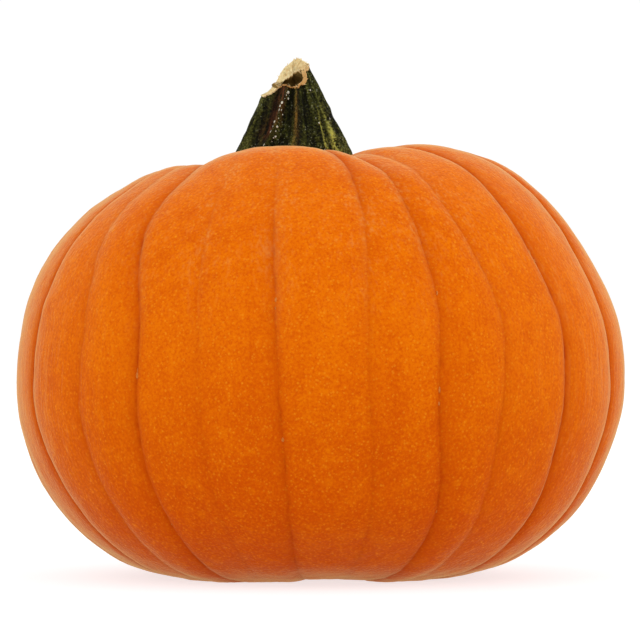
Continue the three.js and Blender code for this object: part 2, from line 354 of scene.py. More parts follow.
def fruitTree():
    shape, heights, radii = fruitShape, fruitShape["heights"], fruitShape["radii"]
    kinds = {int: "NodeSocketInt", float: "NodeSocketFloat"}
    tree, source, sink = newTree("ribbedFruit", "GeometryNodeTree", [
        ("Section", "NodeSocketGeometry"), ("Creases", "NodeSocketObject"), ("Material", "NodeSocketMaterial"),
    ] + [(name, kinds[type(value)]) for name, value in fruitInputs.items()], [("Fruit", "NodeSocketGeometry")])
    ribs = float(len(shape["creases"]))

    # an unrolled skin: x counts the ribs round the fruit and y runs along the section
    grid = put(tree, "GeometryNodeMeshGrid", {
        "Size X": 1.0, "Size Y": 1.0, "Vertices X": Wire(source["Columns Per Rib"]) * ribs + 1.0,
        "Vertices Y": source["Rows"],
    })
    gridX, gridY, _ = splitXyz(tree, put(tree, "GeometryNodeInputPosition").outputs[0])
    around = (gridX + 0.5) * ribs + 0.00002
    rib = calc("FLOOR", around)
    even = around - rib
    share = even - calc("SINE", even * (2 * math.pi)) * shape["columnsToCrease"]

    curve = put(tree, "GeometryNodeMeshToCurve", {0: source["Section"]})
    curve = put(tree, "GeometryNodeCurveSplineType", {"Curve": curve.outputs[0]}, spline_type="CATMULL_ROM")
    curve = put(tree, "GeometryNodeSetSplineResolution", {0: curve.outputs[0], "Resolution": 40})
    sample = put(tree, "GeometryNodeSampleCurve", {
        "Curves": curve.outputs[0], "Factor": gridY + 0.5,
    }, mode="FACTOR", use_all_curves=True)
    radius, _, height = splitXyz(tree, sample.outputs["Position"])
    tangentX, _, tangentZ = splitXyz(tree, sample.outputs["Tangent"])

    creaseObject = put(tree, "GeometryNodeObjectInfo", {0: source["Creases"]})
    creaseAt = creaseGroup()

    def crease(number):
        node = put(tree, "GeometryNodeGroup", node_tree=creaseAt)
        values = (creaseObject.outputs["Geometry"], number, height, Wire(source["Unevenness"]))
        for value, socket in zip(values, node.inputs):
            feed(tree, socket, value)
        return [Wire(output) for output in node.outputs]

    leftAzimuth, leftDepth = crease(rib)
    rightAzimuth, rightDepth = crease(rib + 1.0)
    azimuth = leftAzimuth + (rightAzimuth - leftAzimuth) * share
    angle = azimuth * degree

    # how far the skin sinks here: creases with a long slope on the side away from the front,
    # round crests, and soft unevenness all over
    outer, inner = Wire(source["Outer Reach"]), Wire(source["Inner Reach"])
    onLeft = calc("LESS_THAN", calc("SINE", angle), 0.0)

    def slope(fromCrease, depth, reach):
        soft = falling(depth, 1.0) * Wire(source["Softness"])
        rounded = calc("SQRT", fromCrease * fromCrease + soft * soft) - soft
        return (falling(rounded, reach) - falling(1.0 / reach, 1.0)) * depth * Wire(source["Crease Depth"])

    left = slope(share, leftDepth, outer + (inner - outer) * onLeft)
    right = slope(1.0 - share, rightDepth, inner + (outer - inner) * onLeft)
    deeper = fade(height, *heights["upper"]) * Wire(source["Deeper Above"]) + 1.0
    deeper = deeper + fade(height, *heights["lower"]) * Wire(source["Deeper Below"])
    width = radius * (rightAzimuth - leftAzimuth) * degree
    away = calc("MINIMUM", share, 1.0 - share) * width
    nearRight = calc("GREATER_THAN", share, 0.5)
    nearDepth = leftDepth + (rightDepth - leftDepth) * nearRight
    outerSide = calc("COMPARE", nearRight, onLeft, 0.5)
    line = calc("MAXIMUM", nearDepth - 1.0, 0.0) * Wire(source["Crease Line"])
    line = line * falling(away, Wire(source["Crease Line Width"]))
    crest = calc("SINE", rib * shape["ribSwellStep"]) * calc("SINE", share * math.pi)
    sinking = ((left + right) * deeper + line) * fade(radius, *radii["crease"])
    sinking = sinking * (fade(height, *heights["ground"]) * 0.6 + 0.4)
    sinking = sinking - crest * Wire(source["Rib Swell"]) * fade(radius, *radii["ribSwell"])
    unrolledX, unrolledY = radius * calc("SINE", angle), radius * calc("COSINE", angle)
    for name, detail, stretch in (("Wave", 1.0, 1.0), ("Dent", 2.0, 1.0), ("Streak", 2.0, 0.1)):
        cloud = put(tree, "ShaderNodeTexNoise", {
            "Vector": joinXyz(tree, unrolledX, unrolledY, height * stretch),
            "Scale": 1.0 / Wire(source[name + " Length"]), "Detail": detail,
        })
        sinking = sinking + (Wire(cloud.outputs[0]) - 0.5) * Wire(source[name + " Height"])

    # turned to its azimuth, leaned and tilted, and pressed flat where it meets the ground
    outRadius = radius - tangentZ * sinking
    outHeight = height + tangentX * sinking
    top = calc("GREATER_THAN", height, shape["middleHeight"])
    shoulder = fade(height, *heights["shoulder"])
    cavity = top * fade(radius, *radii["cavity"])
    rim = top * fade(radius, *radii["rimOuter"]) * fade(radius, *radii["rimInner"])
    across = outRadius * calc("SINE", angle)
    lift = 0.0
    for where, lifts in ((fade(height, *heights["underside"]), "undersideLifts"), (rim, "rimLifts")):
        for swell in shape[lifts]:
            lift = where * swelling(azimuth, *swell) + lift
    x = across + shoulder * shape["shoulderShift"] + cavity * shape["cavityShift"]
    x = x + fade(height, *heights["foot"]) * shape["footShift"]
    y = outRadius * calc("COSINE", angle) * Wire(source["Depth Share"])
    z = calc("MAXIMUM", outHeight + across * shoulder * shape["shoulderTilt"] + lift, 0.0)

    skin = grid.outputs["Mesh"]
    unrolled = joinXyz(tree, unrolledX, unrolledY, height * 0.06)
    for name, kind, value in (
        ("creaseAway", "FLOAT", away), ("creaseDepth", "FLOAT", nearDepth),
        ("creaseOuter", "FLOAT", outerSide), ("sectionRadius", "FLOAT", radius),
        ("unrolled", "FLOAT_VECTOR", unrolled),
    ):
        skin = put(tree, "GeometryNodeStoreNamedAttribute", {
            "Geometry": skin, "Name": name, "Value": value,
        }, data_type=kind, domain="POINT").outputs[0]
    skin = put(tree, "GeometryNodeSetPosition", {
        "Geometry": skin, "Position": joinXyz(tree, x * mm, y * -mm, z * mm),
    })
    skin = put(tree, "GeometryNodeMergeByDistance", {"Geometry": skin.outputs[0], "Distance": 0.002 * mm})
    skin = put(tree, "GeometryNodeRealizeInstances", {"Geometry": skin.outputs[0]})
    skin = put(tree, "GeometryNodeSetMaterial", {"Geometry": skin.outputs[0], "Material": source["Material"]})
    feed(tree, sink["Fruit"], skin.outputs[0])
    return tree


rindLook = {
    "low": (0.66, 0.084, 0.0003),
    "high": (0.78, 0.147, 0.0004),
    "pale": (0.9, 0.23, 0.001),
    "deep": (0.6, 0.07, 0.0002),
    "dot": (0.97, 0.36, 0.015),
    "creaseShadeBand": (0.64, 0.086, 0.0002),
    "crease": (0.42, 0.036, 0.0002),
    "scuffAndSheen": (0.84, 0.33, 0.075),
    "cork": (0.42, 0.27, 0.15),
}


def rindMaterial():
    look = rindLook
    material, tree, principled, place = newMaterial("waxyRind", **{
        "Roughness": 0.4, "Specular IOR Level": 0.014,
        "Sheen Weight": 0.9, "Sheen Roughness": 0.28, "Sheen Tint": (1, 0.79, 0.36, 1),
    })
    x, _, z = splitXyz(tree, place)
    away = attribute(tree, "creaseAway")
    depth = attribute(tree, "creaseDepth") / 3.0
    outer = attribute(tree, "creaseOuter")
    radius = attribute(tree, "sectionRadius")
    unrolled = put(tree, "ShaderNodeAttribute", attribute_name="unrolled").outputs["Vector"]
    patches = useGroup(tree, mottle, {"Vector": place, "Length": 38 * mm, "Detail": 3.0})
    blotches = useGroup(tree, mottle, {"Vector": place, "Length": 8 * mm, "Detail": 4.0})
    grain = useGroup(tree, mottle, {"Vector": place, "Length": 1.3 * mm, "Detail": 2.0})
    bands = useGroup(tree, mottle, {"Vector": unrolled, "Length": 9.0, "Detail": 2.0})
    streaks = useGroup(tree, mottle, {"Vector": unrolled, "Length": 1.7, "Detail": 3.0})
    dots = useGroup(tree, speckle, {"Vector": place, "Spacing": 1.8 * mm, "Size": 0.5, "Share": 0.9})
    brightDots = useGroup(tree, speckle, {"Vector": place, "Spacing": 3.3 * mm, "Size": 0.26, "Share": 0.6})
    spots = useGroup(tree, speckle, {"Vector": place, "Spacing": 8 * mm, "Size": 0.5, "Share": 0.5})
    # deeper orange towards the bottom, and darker there as painted shade of the underside
    colour = mixColour(tree, fade(z + patches * (12 * mm), 5 * mm, 130 * mm), look["low"], look["high"])
    colour = mixColour(tree, blotches * 0.25 + bands * 0.15 + patches * 0.1, colour, look["pale"])
    colour = mixColour(tree, -(blotches * 0.35 + bands * 0.25 + patches * 0.2), colour, look["deep"])
    colour = mixColour(tree, spots * 0.25, colour, look["pale"])
    colour = mixColour(tree, calc("MAXIMUM", grain, 0.0) * 0.6, colour, look["pale"])
    colour = mixColour(tree, calc("MAXIMUM", -grain, 0.0) * 0.8, colour, look["deep"])
    colour = mixColour(tree, dots * 0.3 + brightDots * 0.3, colour, look["dot"])
    # pale scuffed lines along the shoulders and down both sides, partly painted sheen: the pale glint of grazing
    # light on the wax where the skin turns away at the top and at the left and right
    shoulders = falling(away, 7.0) * 0.7 + fade(radius, 105.0, 72.0) * 0.4 + 0.2
    shoulders = shoulders * fade(z + blotches * (8 * mm), 110 * mm, 190 * mm)
    sides = fade(calc("ABSOLUTE", x) + blotches * (5 * mm), 92 * mm, 145 * mm) * 0.45
    scuffsAndSheen = fade(streaks + bands * 0.5, -0.1, 1.2) * (shoulders + sides)
    colour = mixColour(tree, scuffsAndSheen, colour, look["scuffAndSheen"])
    # a painted highlight: a pale line along the inner side of the deeper creases on the upper part
    edge = falling(away, 2.0) * (1.0 - outer) * fade(z, 100 * mm, 170 * mm) * depth
    colour = mixColour(tree, edge * fade(streaks, -1.2, 0.8) * 0.7, colour, look["scuffAndSheen"])
    # a deeper orange band along a crease, wide on its outer side and darkened there as painted shade, and a dark
    # line of painted shade in the crease that comes and goes
    depth = depth * fade(radius, 20.0, 60.0)
    colour = mixColour(tree, falling(away, outer * 4.5 + 2.0) * depth * 0.45, colour, look["creaseShadeBand"])
    creaseShadeBand = falling(away, outer * 1.6 + 1.8) * 0.42
    line = falling(away, 1.0) * fade(streaks * 0.4 + blotches, -0.4, 0.7) * 0.5
    colour = mixColour(tree, (creaseShadeBand + line) * depth, colour, look["crease"])
    # the scar of the blossom, in the middle of the dimple underneath
    scar = fade(radius + blotches * 1.2, 8.5, 6.0) * calc("LESS_THAN", z, 60 * mm)
    colour = mixColour(tree, scar, colour, look["cork"])
    feed(tree, principled.inputs["Base Color"], colour)
    feed(tree, principled.inputs["Roughness"], grain * 0.04 + blotches * 0.03 + scar * 0.3 + 0.4)
    height = dots * 0.25 + grain * 0.3 + blotches * 0.8 + streaks * 0.9
    raiseSurface(tree, principled, height, 0.14 * mm, 0.7)
    return material


def makeFruit():
    section = fruitShape["section"]
    points = [(radius, 0, height) for radius, height in section]
    fruit = newObject("fruitSkin", points, [(i, i + 1) for i in range(len(points) - 1)])
    creases = newObject("creases", [row[:3] for row in fruitShape["creases"]])
    addFloats(creases.data, "depth", [row[3] for row in fruitShape["creases"]])
    addFloats(creases.data, "onRim", [row[4] for row in fruitShape["creases"]])
    grow(fruit, fruitTree(), {"Creases": creases, "Material": rindMaterial(), **fruitInputs})
    bpy.data.objects.remove(creases)
    # set on the CAD fruit, whose middle is the origin
    low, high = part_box("fruit")
    places = np.empty(len(fruit.data.vertices) * 3, np.float32)
    fruit.data.vertices.foreach_get("co", places)
    places = places.reshape(-1, 3)
    shift = (np.array(low) + np.array(high) - places.min(0) - places.max(0)) / 2
    places[:, :2] += shift[:2]
    fruit.data.vertices.foreach_set("co", places.ravel())
    fruit.data.update()
    finishPiece(fruit)
    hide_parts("fruit")
    return fruit, float(shift[0])


fruit, fruitShift = makeFruit()
print("fruit done", len(fruit.data.polygons), "faces")


# stem: ridges with rounded hollows between them, up to an edge that is snapped off on a slant

stemShape = {  # millimetres and degrees
    "axis": -13.8,
    "section": [
        (39.5, 191), (36, 197), (32.8, 204), (29.6, 211), (26.2, 217), (22.8, 223), (20, 229),
        (17.1, 234.5), (14.2, 240), (11.4, 246), (8.4, 252), (5.2, 258),
    ],
    # each ridge: azimuth at the base, azimuth at the tip, height as a share of the radius
    "ridges": [
        (-76, -55, 0.09), (-38, -13, 0.15), (0, 7, 0.08), (32, 38, 0.13), (58, 64, 0.09),
        (95, 100, 0.15), (135, 140, 0.08), (170, 175, 0.14), (205, 215, 0.08), (245, 262, 0.15),
    ],
    "ridgeScale": 1.7,
    "footLean": -1.8,
    "columnsPerRidge": 20,
    "rows": 130,
    "hollowFlatness": 0.7,
    # the snapped edge: azimuth and height
    "edge": [
        (0, 241.1), (15, 242), (30, 243), (38, 245.2), (50, 249.2), (68, 251.2), (90, 252.8),
        (120, 254.3), (147, 255.7), (170, 255.6), (191, 254.3), (212, 251.6), (224, 247.6),
        (235, 243.6), (246, 239), (265, 237), (292, 236.4), (310, 237.2), (317, 239.6),
        (322, 242), (340, 241.4),
    ],
    # the torn tissue inside the edge: azimuth, reach inwards, drop over that reach, paleness
    "tornRim": [
        (0, 3, -0.2, 0.2), (15, 3.2, -0.4, 0.2), (30, 3, -1.4, 0.3), (50, 2.6, -0.6, 0.42),
        (90, 2.4, 2.8, 0.75), (120, 3.6, 5.2, 1), (147, 4.8, 7, 1), (180, 5.4, 7.2, 1),
        (212, 5.2, 4.2, 0.95), (235, 5.4, -2, 0.85), (250, 5.6, -6, 0.8), (265, 6, -6.4, 0.8),
        (292, 6, -6.6, 0.75), (308, 5.2, -5, 0.8), (318, 3, -0.8, 0.6), (328, 2.6, 0, 0.3),
        (345, 3, 0, 0.2),
    ],
    "wall": 2.4,
    "hollowTop": 244.5,
    "hollowFloor": 238.5,
    "capRows": 52,
    "knob": {"azimuth": 88, "height": 231.2, "width": 8, "length": 2.2, "size": 1.1},
    "sunkIn": 1.5,
}


def catmullRom(points, places):
    # points of a uniform Catmull-Rom curve at places from 0 to 1
    points = np.asarray(points, float)
    last = len(points) - 1
    along = np.clip(places, 0, 1) * last
    start = np.minimum(along.astype(int), last - 1)
    share = (along - start).reshape(-1, *[1] * (points.ndim - 1))
    before, here = points[np.maximum(start - 1, 0)], points[start]
    there, after = points[start + 1], points[np.minimum(start + 2, last)]
    leaving, arriving = (there - before) / 2, (after - here) / 2
    cubic = 2 * here - 2 * there + leaving + arriving
    square = 3 * there - 3 * here - 2 * leaving - arriving
    return ((cubic * share + square) * share + leaving) * share + here


def ease(value):
    value = np.clip(value, 0, 1)
    return value * value * (3 - 2 * value)


def cloudy(points, length, detail=2):
    # soft noise at points in millimetres, roughly from -1 to 1
    return np.array([noise.fractal(Vector(point) / length, 0.9, 2.0, detail) for point in points])


def roundTable(azimuth, name, column):
    # a value that stemShape lists by azimuth
    rows = np.array(stemShape[name], float)
    return np.interp(azimuth, rows[:, 0], rows[:, column], period=360)


def stemSide(around, height):
    # radius of the stem at ridge numbers with a share, and at heights
    ridges = np.array(stemShape["ridges"])
    section = np.array(stemShape["section"])
    number = around.astype(int) % len(ridges)
    share = around % 1
    ridgeHeight = ridges[number, 2] + (ridges[(number + 1) % len(ridges), 2] - ridges[number, 2]) * share
    hollow = np.sin(np.pi * share) ** stemShape["hollowFlatness"] * stemShape["ridgeScale"]
    radius = np.interp(height, section[:, 1], section[:, 0])
    return radius * (1 - ridgeHeight * hollow)


def stemAzimuth(around, rise):
    ridges = np.array(stemShape["ridges"])
    number = around.astype(int) % len(ridges)
    turn = (number + 1 == len(ridges)) * 360
    ends = ridges[number, :2] + (ridges[(number + 1) % len(ridges), :2] + turn[..., None]
                                 - ridges[number, :2]) * (around % 1)[..., None]
    return ends[..., 0] + (ends[..., 1] - ends[..., 0]) * rise


def skinHeight(tree, x, y):
    hit = tree.ray_cast(Vector((x * mm, y * mm, 0.3)), Vector((0, 0, -1)))
    return hit[0].z / mm


def makeStemPoints(fruitTree):
    shape = stemShape
    columns = shape["columnsPerRidge"] * len(shape["ridges"])
    around = np.arange(columns) / shape["columnsPerRidge"]
    axis = shape["axis"] + fruitShift / mm
    # the foot: where each column of the side meets the skin of the fruit
    foot = np.full(columns, 200.0)
    footAzimuth = stemAzimuth(around, np.zeros(columns)) * degree
    for _ in range(4):
        radius = stemSide(around, foot)
        foot = np.array([
            skinHeight(fruitTree, axis + r * math.sin(a), -r * math.cos(a)) for r, a in zip(radius, footAzimuth)
        ])
    foot -= shape["sunkIn"]
    rise = np.linspace(0, 1, shape["rows"])[:, None]
    azimuth = stemAzimuth(around[None, :] + 0 * rise, rise)
    ragged = cloudy([(math.sin(a) * 9, math.cos(a) * 9, 5) for a in azimuth[-1] * degree], 1.6, 3)
    edge = roundTable(azimuth, "edge", 1) + ragged * 1.5 * rise ** 8
    height = foot + (edge - foot) * rise
    radius = stemSide(around[None, :] + 0 * rise, height)
    radians = azimuth * degree
    side = np.stack([radius * np.sin(radians), -radius * np.cos(radians), height], -1)
    # small unevenness, drawn out along the stem
    flat = side.reshape(-1, 3)
    lumps = cloudy(flat * (1, 1, 0.45), 5.5).reshape(radius.shape)
    grainRound = np.stack([np.sin(radians) * 14, np.cos(radians) * 14, height * 0.06], -1)
    grain = cloudy(grainRound.reshape(-1, 3), 1.5, 3).reshape(radius.shape)
    knob = shape["knob"]
    aside, above = (azimuth - knob["azimuth"]) / knob["width"], (height - knob["height"]) / knob["length"]
    radius = radius + (lumps * 0.7 + grain * 0.55) * ease(rise * 6)
    radius = radius + np.exp(-aside ** 2 - above ** 2) * knob["size"]
    side = np.stack([radius * np.sin(radians), -radius * np.cos(radians), height], -1)
    side[..., 0] += shape["footLean"] * ease(1 - rise * 2)
    rings = np.concatenate([side, capRings(around, azimuth[-1], side[-1])])
    middle = np.array([[0, 0, foot.min() - shape["sunkIn"]], [0, 0, shape["hollowFloor"]]])
    points = np.concatenate([middle, rings.reshape(-1, 3)]) + (axis, 0, 0)
    return points * mm, around, azimuth, rings, grain + lumps * 0.5


def capRings(around, azimuth, edge):
    # rings from the snapped edge over the torn tissue, under it, and down into the hollow
    shape = stemShape
    radius, top = np.hypot(edge[:, 0], edge[:, 1]), edge[:, 2]
    inward, drop = roundTable(azimuth, "tornRim", 1), roundTable(azimuth, "tornRim", 2)
    hollowTop = np.minimum(top - drop - 1.2, shape["hollowTop"])
    wall = stemSide(around, hollowTop) - shape["wall"]
    floor = shape["hollowFloor"] + 0 * top
    route = np.array([
        (radius, top), (radius + 0.35, top + 0.55), (radius - inward * 0.3, top - drop * 0.1 + 0.5),
        (radius - inward * 0.75, top - drop * 0.55), (radius - inward, top - drop),
        (radius - inward * 0.85, top - drop - 0.9), (wall, hollowTop),
        (wall * 0.95, hollowTop * 0.6 + floor * 0.4), (wall * 0.7, floor + 0.6), (wall * 0.35, floor),
    ])
    places = np.linspace(0, 1, shape["capRows"])[1:]
    across, height = np.moveaxis(catmullRom(route.transpose(0, 2, 1), places), -1, 0)
    radians = azimuth * degree
    rings = np.stack([across * np.sin(radians), -across * np.cos(radians), height], -1)
    # folds that run along the rim, with roughness on top
    route = places[:, None] + 0 * radians
    foldPlaces = np.stack([np.sin(radians) * 2 + 0 * route, np.cos(radians) * 2 + 0 * route, route * 20], -1)
    fold = cloudy(foldPlaces.reshape(-1, 3), 2.0, 2).reshape(*route.shape, 1)
    fold = fold * np.stack([-0.5 * np.sin(radians), 0.5 * np.cos(radians), 0.8 + 0 * radians], -1)
    flat = rings.reshape(-1, 3)
    lump = np.stack([cloudy(flat + shift, 2.0, 3) for shift in (0, 50, 90)], -1) * 0.34
    swing = (0.25 + 0.75 * np.sin(np.pi * np.clip(places * 2.3, 0, 1)))[:, None, None]
    return rings + (lump.reshape(rings.shape) + fold * 0.75) * swing * ease(places * 8)[:, None, None]


def makeStem():
    shape = stemShape
    skin = BVHTree.FromObject(fruit, bpy.context.evaluated_depsgraph_get())
    points, around, azimuth, rings, crests = makeStemPoints(skin)
    count, columns = rings.shape[:2]
    nextColumn = (np.arange(columns) + 1) % columns
    at = lambda ring, column: 2 + ring * columns + column
    faces = [(0, at(0, nextColumn[c]), at(0, c)) for c in range(columns)]
    for ring in range(count - 1):
        faces += [
            (at(ring, c), at(ring, nextColumn[c]), at(ring + 1, nextColumn[c]), at(ring + 1, c))
            for c in range(columns)
        ]
    faces += [(at(count - 1, c), at(count - 1, nextColumn[c]), 1) for c in range(columns)]
    stem = newObject("stemStalk", points, faces=[tuple(map(int, face)) for face in faces])
    mesh = stem.data
    mesh.materials.append(stalkMaterial())
    mesh.materials.append(snapMaterial())
    firstSnapFace = columns * shape["rows"]
    mesh.polygons.foreach_set("material_index", np.arange(len(faces)) >= firstSnapFace)
    # masks for the finishes, one value per point
    rows = shape["rows"]
    rise = np.linspace(0, 1, rows)[:, None] * np.ones(columns)
    number = np.rint(around) % len(shape["ridges"])
    toRidge = np.abs(around - np.rint(around))
    ridge = np.exp(-toRidge / 0.1)

    def mask(values, inside=0.0):
        rest = np.full((count - rows) * columns, inside)
        return np.concatenate([[0, inside], (values * np.ones((rows, columns))).ravel(), rest])

    def beside(place, width):
        away = np.abs((around - place + len(shape["ridges"]) / 2) % len(shape["ridges"]) - len(shape["ridges"]) / 2)
        return np.exp(-(away / width) ** 2)

    # crest: high on the lumps and on the ridges, low in the hollows between them; the stalk's colour uses it for
    # painted shade in the hollows and painted light on the crests
    addFloats(mesh, "crest", mask(crests - np.sin(np.pi * (around % 1)) * 0.6 + 0.3))
    addFloats(mesh, "ridge", mask(ridge))
    addFloats(mesh, "ochre", mask(np.exp(-toRidge / 0.05) * np.isin(number, (2, 6))))
    addFloats(mesh, "lime", mask(
        (beside(3.45, 0.1) + beside(3.85, 0.1)) * ease(1.6 - rise * 2) * 0.85 + beside(7.6, 0.3) * 0.7
    ))
    addFloats(mesh, "rust", mask(beside(0.74, 0.3) * ease((rise - 0.4) * 4) + beside(5.4, 0.2) * 0.6))
    # dark: a dark stripe just past ridge 3, and a painted shadow under the torn lip on the upper left
    addFloats(mesh, "dark", mask(beside(3.12, 0.12) + beside(0.55, 0.3) * ease(rise * 2 - 0.6)))
    # how far along the torn end a ring is, from the edge to the middle of the floor
    torn = np.zeros(len(points))
    torn[2 + rows * columns:] = np.repeat(np.linspace(0, 1, count - rows + 1)[1:], columns)
    torn[1] = 1
    addFloats(mesh, "torn", torn)
    paleness = np.tile(roundTable(azimuth[-1], "tornRim", 3), count)
    addFloats(mesh, "paleness", np.concatenate([[0, 0], paleness]))
    grain = mesh.attributes.new("grain", "FLOAT_VECTOR", "POINT")
    radians = np.concatenate([azimuth, np.repeat(azimuth[-1:], count - rows, 0)]) * degree
    vector = np.stack([np.sin(radians), np.cos(radians), rings[..., 2] * 0.012], -1).reshape(-1, 3)
    grain.data.foreach_set("vector", np.concatenate([np.zeros((2, 3)), vector]).astype(np.float32).ravel())
    finishPiece(stem)
    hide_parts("stem")
    return stem, points[2:].reshape(rings.shape)


stalkLook = {
    "dark": (0.005, 0.005, 0.001),
    "green": (0.05, 0.055, 0.007),
    "pale": (0.19, 0.195, 0.05),
    "black": (0.003, 0.002, 0.001),
    "lime": (0.75, 0.72, 0.13),
    "ochre": (0.36, 0.17, 0.03),
    "rust": (0.2, 0.06, 0.02),
    "ridge": (0.17, 0.16, 0.05),
    "dustAndGlints": (0.4, 0.42, 0.3),
}


def stalkMaterial():
    look = stalkLook
    material, tree, principled, place = newMaterial("stalkSkin", **{
        "Roughness": 0.5, "Specular IOR Level": 0.06,
    })
    grainVector = put(tree, "ShaderNodeAttribute", attribute_name="grain").outputs["Vector"]
    streaks = useGroup(tree, mottle, {"Vector": grainVector, "Length": 0.07, "Detail": 3.0})
    fine = useGroup(tree, mottle, {"Vector": place, "Length": 1.1 * mm, "Detail": 3.0})
    patches = useGroup(tree, mottle, {"Vector": place, "Length": 7 * mm, "Detail": 2.0})
    dustAndGlints = useGroup(tree, speckle, {"Vector": place, "Spacing": 1.1 * mm, "Size": 0.5, "Share": 0.75})
    crest = attribute(tree, "crest")
    # painted shade and light: darker in the hollows between ridges, paler on the crests and lumps
    colour = mixColour(tree, crest * 0.8 + streaks * 0.3 + fine * 0.8 + 0.38, look["dark"], look["green"])
    pale = fade(crest * 0.7 + fine * 1.1 + streaks * 0.4 + patches * 0.3, 0.3, 1.4)
    colour = mixColour(tree, pale, colour, look["pale"])
    lime = attribute(tree, "lime") * fade(streaks + fine * 1.2 + patches * 0.6, -0.7, 0.7)
    colour = mixColour(tree, lime, colour, look["lime"])
    colour = mixColour(tree, attribute(tree, "ochre") * fade(fine + streaks, -0.8, 0.8), colour, look["ochre"])
    rust = attribute(tree, "rust") * fade(streaks + fine * 0.5, -0.5, 0.5)
    colour = mixColour(tree, rust, colour, look["rust"])
    ridge = attribute(tree, "ridge") * fade(fine, -0.2, 1.0)
    colour = mixColour(tree, ridge * 0.4, colour, look["ridge"])
    # near black where dark is: a dark stripe, and the painted shadow under the torn lip
    colour = mixColour(tree, attribute(tree, "dark") * 0.75, colour, look["black"])
    # pale specks: dust, and painted glints where light catches the bumps; fewer where dark is
    dustAndGlintSpecks = dustAndGlints * fade(patches + fine * 0.6 - attribute(tree, "dark"), -0.3, 0.8)
    colour = mixColour(tree, dustAndGlintSpecks * 0.8, colour, look["dustAndGlints"])
    feed(tree, principled.inputs["Base Color"], colour)
    feed(tree, principled.inputs["Roughness"], fine * 0.1 + dustAndGlintSpecks * 0.2 + 0.45)
    raiseSurface(tree, principled, streaks * 0.6 + fine * 0.6 + dustAndGlintSpecks * 0.4, 0.9 * mm, 1.0)
    return material


snapLook = {
    "straw": (1.0, 0.84, 0.47),
    "shade": (0.84, 0.6, 0.27),
    "crack": (0.42, 0.33, 0.06),
    "brown": (0.62, 0.31, 0.085),
    "hollow": (0.2, 0.13, 0.03),
}


def snapMaterial():
    look = snapLook
    material, tree, principled, place = newMaterial("snappedWood", **{
        "Roughness": 0.75, "Specular IOR Level": 0.2,
    })
    fibre = useGroup(tree, mottle, {"Vector": place, "Length": 1.8 * mm, "Detail": 4.0})
    fine = useGroup(tree, mottle, {"Vector": place, "Length": 0.5 * mm, "Detail": 3.0})
    torn = attribute(tree, "torn") + fibre * 0.015
    # the middle of the torn slope is darker than its two edges: painted shade in the hollow of the slope
    slopeShade = fade(torn, 0.08, 0.2) * fade(torn, 0.4, 0.28)
    colour = mixColour(tree, fibre * 1.1 - slopeShade * 0.4 + 0.8, look["shade"], look["straw"])
    colour = mixColour(tree, fade(fine * 0.5 + fibre + slopeShade * 0.35, 0.55, 1.15) * 0.8, colour, look["crack"])
    brown = 1.0 - attribute(tree, "paleness") + fibre * 0.25
    colour = mixColour(tree, fade(brown, 0.15, 0.8), colour, look["brown"])
    colour = mixColour(tree, fade(torn, 0.42, 0.455), colour, look["brown"])
    colour = mixColour(tree, fade(torn, 0.44, 0.5) * 0.9, colour, look["hollow"])
    feed(tree, principled.inputs["Base Color"], colour)
    raiseSurface(tree, principled, fibre + fine * 0.5, 0.6 * mm, 0.7)
    return material


stem, stemPoints = makeStem()
print("stem done", len(stem.data.polygons), "faces")


# small things set on the surface: corky dots and torn fibres of the stem, scars of the rind

def scatterTree(name, makeShape):
    # puts a small shape on each point, turned outwards, sized, and roughened by noise
    tree, source, sink = newTree(name, "GeometryNodeTree", [
        ("Places", "NodeSocketGeometry"), ("Lumpiness", "NodeSocketFloat"),
        ("Lump Length", "NodeSocketFloat"), ("Material", "NodeSocketMaterial"),
    ], [("Pieces", "NodeSocketGeometry")])

    def named(label):
        node = put(tree, "GeometryNodeInputNamedAttribute", {"Name": label}, data_type="FLOAT_VECTOR")
        return node.outputs[0]

    outwards = put(tree, "FunctionNodeAlignRotationToVector", {"Vector": named("outwards")}, axis="Z")
    turned = put(tree, "FunctionNodeAlignRotationToVector", {
        "Rotation": outwards.outputs[0], "Vector": named("along"),
    }, axis="X", pivot_axis="Z")
    pieces = put(tree, "GeometryNodeInstanceOnPoints", {
        "Points": source["Places"], "Instance": makeShape(tree), "Rotation": turned.outputs[0],
        "Scale": named("size"),
    })
    pieces = put(tree, "GeometryNodeRealizeInstances", {"Geometry": pieces.outputs[0]})
    cloud = put(tree, "ShaderNodeTexNoise", {
        "Vector": put(tree, "GeometryNodeInputPosition").outputs[0],
        "Scale": 1.0 / Wire(source["Lump Length"]), "Detail": 2.0,
    })
    push = [(part - 0.5) * Wire(source["Lumpiness"]) for part in splitXyz(tree, cloud.outputs[1])]
    pieces = put(tree, "GeometryNodeSetPosition", {
        "Geometry": pieces.outputs[0], "Offset": joinXyz(tree, *push),
    })
    pieces = put(tree, "GeometryNodeSetMaterial", {
        "Geometry": pieces.outputs[0], "Material": source["Material"],
    })
    feed(tree, sink["Pieces"], pieces.outputs[0])
    return tree


def ballShape(tree):
    return put(tree, "GeometryNodeMeshIcoSphere", {"Radius": 1.0, "Subdivisions": 2}).outputs[0]


def fibreShape(tree):
    # a slim spike, one long, that bows over towards its tip
    spike = put(tree, "GeometryNodeMeshCone", {
        "Vertices": 4, "Side Segments": 4, "Radius Top": 0.1, "Radius Bottom": 1.0, "Depth": 1.0,
    })
    _, _, up = splitXyz(tree, put(tree, "GeometryNodeInputPosition").outputs[0])
    bow = put(tree, "GeometryNodeSetPosition", {
        "Geometry": spike.outputs[0], "Offset": joinXyz(tree, up * up * 3.0, 0.0, 0.0),
    })
    return bow.outputs[0]


